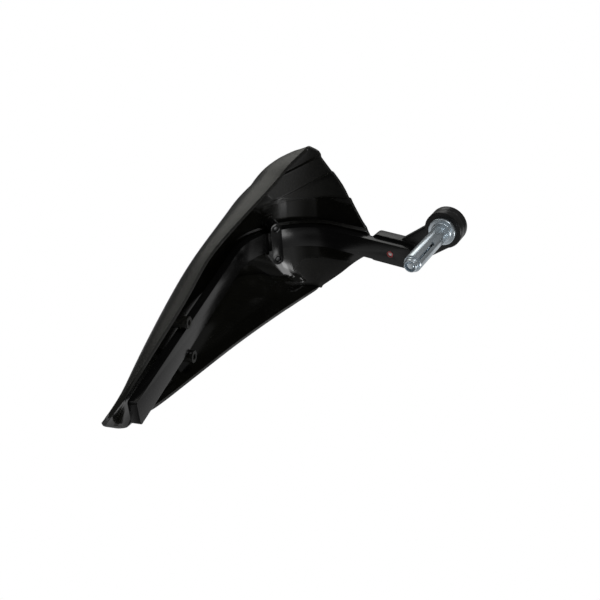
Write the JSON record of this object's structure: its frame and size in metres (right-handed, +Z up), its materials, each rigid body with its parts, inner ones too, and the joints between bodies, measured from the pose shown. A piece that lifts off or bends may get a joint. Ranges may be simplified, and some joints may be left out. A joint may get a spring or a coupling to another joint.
{
  "type": "motorcycle hand guard",
  "caption": "Right-hand motorcycle hand guard: louvred moulded shell on a bent flat bar, held by an arm and an expanding handlebar insert.",
  "frame": {"origin": "on the axis of the bar-end insert, at the outboard end of its slotted sleeve, where the handlebar's end seats", "axes": "+X outward along the handlebar, +Y forward, +Z up"},
  "size_m": [0.3165, 0.1922, 0.1437],
  "materials": {
    "guard_shell": "satin grain outside, smooth inside",
    "backbone": "black powder coat",
    "bar_end_arm": "cast, black powder coat",
    "bar_end_weight": "turned, satin black",
    "seat_washer": "bright zinc plate",
    "cone_collar": "bright zinc plate",
    "expander_sleeve": "bright zinc plate",
    "wedge_nut": "bright zinc plate",
    "bar_end_bolt": "oiled black",
    "lap_screw": "black, with red thread lock on its end",
    "saddle": "cast, black",
    "saddle_screws": "oiled black",
    "saddle_screw_washers": "oiled black"
  },
  "bodies": {
    "root": {"guard_shell": "guard_shell", "backbone": "backbone", "bar_end_arm": "bar_end_arm", "bar_end_weight": "bar_end_weight", "seat_washer": "seat_washer", "cone_collar": "cone_collar", "expander_sleeve": "expander_sleeve", "wedge_nut": "wedge_nut", "bar_end_bolt": "bar_end_bolt", "lap_screw": "lap_screw", "saddle": "saddle", "saddle_screws": "saddle_screws", "saddle_screw_washers": "saddle_screw_washers"}
  },
  "joints": []
}
